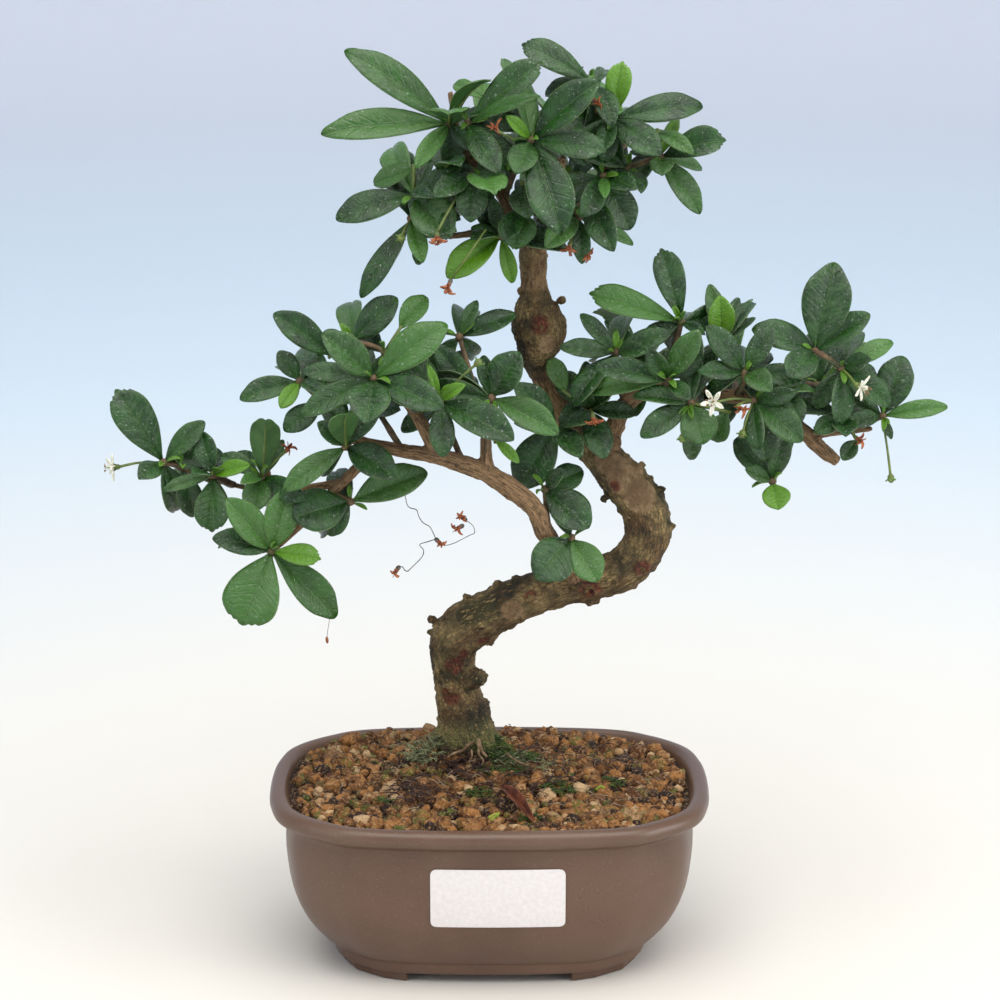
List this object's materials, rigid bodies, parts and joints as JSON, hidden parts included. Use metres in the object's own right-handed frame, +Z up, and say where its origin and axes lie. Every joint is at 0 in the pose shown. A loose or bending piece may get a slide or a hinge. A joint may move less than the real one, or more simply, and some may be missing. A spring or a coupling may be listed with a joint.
{
  "type": "bonsai tree in a pot",
  "caption": "Fukien tea bonsai with an S-curved trunk, leafy tiers, small white flowers and dried calyces, in an oblong stoneware pot with a rolled lip and corner feet, filled with clay grains.",
  "frame": {"origin": "middle of the whole's outline seen from above, on the plane under the pot's feet", "axes": "+Z up, the front with the label faces -Y, +X to the right of someone who looks at the front"},
  "size_m": [0.2868, 0.1232, 0.3237],
  "materials": {
    "stoneware": "satin",
    "label_paper": "satin",
    "clay_soil": "matte",
    "bark": "matte",
    "foliage": "satin",
    "dry_leaf": "satin",
    "petals": "matte",
    "dried_calyx": "matte"
  },
  "bodies": {
    "root": {"calyx_crown_left": "dried_calyx", "calyx_crown_low": "dried_calyx", "calyx_crown_top": "dried_calyx", "calyx_front": "dried_calyx", "calyx_left": "dried_calyx", "calyx_right_end": "dried_calyx", "calyx_trunk": "dried_calyx", "crown_back_left": "foliage", "crown_back_middle": "foliage", "crown_back_right": "foliage", "crown_back_top": "foliage", "crown_front": "foliage", "crown_left_low": "foliage", "crown_left_mid": "foliage", "crown_left_out": "foliage", "crown_lower_right": "foliage", "crown_right": "foliage", "crown_tip": "foliage", "crown_top": "foliage", "crown_top_left": "foliage", "crown_under": "foliage", "elbow": "foliage", "fallen_leaf": "dry_leaf", "far_left": "foliage", "far_left_tip": "foliage", "hanging": "foliage", "inner_dark": "foliage", "inner_low": "foliage", "label": "label_paper", "left_back": "foliage", "left_back_end": "foliage", "left_edge": "foliage", "left_end": "foliage", "left_front": "foliage", "left_inner": "foliage", "left_low_big": "foliage", "left_middle": "foliage", "left_rosette": "foliage", "left_top": "foliage", "left_top_right": "foliage", "low_left": "foliage", "pale_flower_right": "petals", "pot": "stoneware", "right_back": "foliage", "right_back_end": "foliage", "right_back_left": "foliage", "right_end": "foliage", "right_front_left": "foliage", "right_left": "foliage", "right_low": "foliage", "right_low_front": "foliage", "right_low_left": "foliage", "right_middle": "foliage", "right_top": "foliage", "right_top_left": "foliage", "soil": "clay_soil", "trunk": "bark", "trunk_right": "foliage", "white_flower_far_left": "petals", "white_flower_front": "petals"}
  },
  "joints": []
}
